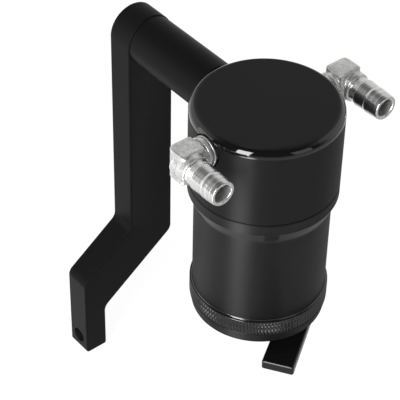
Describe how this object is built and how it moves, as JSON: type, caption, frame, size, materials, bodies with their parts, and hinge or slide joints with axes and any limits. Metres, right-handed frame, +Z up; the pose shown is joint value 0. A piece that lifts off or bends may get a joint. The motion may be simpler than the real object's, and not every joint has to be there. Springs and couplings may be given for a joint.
{
  "type": "oil catch can",
  "caption": "Billet oil catch can on a cranked bracket, with two barbed side fittings, a screw-off bowl and a lever drain valve.",
  "frame": {"origin": "centre of the bolt hole in the bracket's foot, halfway through the leg", "axes": "+X from the bracket arm to the can, the way both hose barbs point; +Y along the foot bolt; +Z up along the can's axis"},
  "size_m": [0.1551, 0.1183, 0.2181],
  "materials": {
    "black_anodised": "satin black anodised",
    "black_anodised_tube": "satin black anodised",
    "black_anodised_bowl": "satin black anodised, turned",
    "plated_fitting": "nickel plated over a forged skin",
    "nickel_brass": "nickel plated",
    "polished_ball": "polished",
    "black_steel": "black oxide",
    "zinc_steel": "zinc plated",
    "stainless_plate": "punched sheet",
    "steel_mesh": "knitted wire",
    "bare_aluminium": "machined",
    "gloss_black": "gloss black",
    "rubber": "moulded",
    "white_plastic": "turned"
  },
  "bodies": {
    "bracket_and_head": {"bracket_arm": "black_anodised", "standoff_tube": "black_anodised_tube", "mounting_bolt": "black_steel", "bolt_washer": "black_steel", "head_housing": "black_anodised", "inlet_elbow": "plated_fitting", "outlet_elbow": "plated_fitting", "inlet_drop_tube": "bare_aluminium", "upper_screen": "stainless_plate", "filter_mesh": "steel_mesh", "lower_baffle": "stainless_plate", "filter_stud": "zinc_steel", "stud_spacer": "bare_aluminium", "stud_washer": "zinc_steel", "stud_nut": "zinc_steel"},
    "bowl_seal": {"bowl_seal_ring": "rubber"},
    "bowl_and_valve": {"bowl": "black_anodised_bowl", "drain_seal_washer": "rubber", "drain_valve_body": "nickel_brass", "drain_seat_upper": "white_plastic", "drain_seat_lower": "white_plastic", "drain_end_cap": "nickel_brass", "stem_packing": "white_plastic", "packing_nut": "nickel_brass"},
    "lever_and_ball": {"drain_lever": "gloss_black", "lever_set_screw": "black_steel", "drain_stem": "zinc_steel", "drain_ball": "polished_ball"}
  },
  "joints": [
    {"name": "bowl_travel", "type": "slide", "parent": "bracket_and_head", "child": "bowl_seal", "axis": [0, 0, -1], "range_m": [0, 0.012]},
    {"name": "bowl_turn", "type": "hinge", "parent": "bowl_seal", "child": "bowl_and_valve", "pos_m": [0.099, 0.04045, 0.1635], "axis": [0, 0, -1], "range_deg": [0, 2160]},
    {"name": "drain_lever_turn", "type": "hinge", "parent": "bowl_and_valve", "child": "lever_and_ball", "pos_m": [0.099, 0.04045, 0.0728], "axis": [0.8348, 0.5505, 0], "range_deg": [0, 90]}
  ],
  "couplings": [
    {"joint": "bowl_travel", "follows": "bowl_turn", "m_per_rad": 0.00031831}
  ]
}
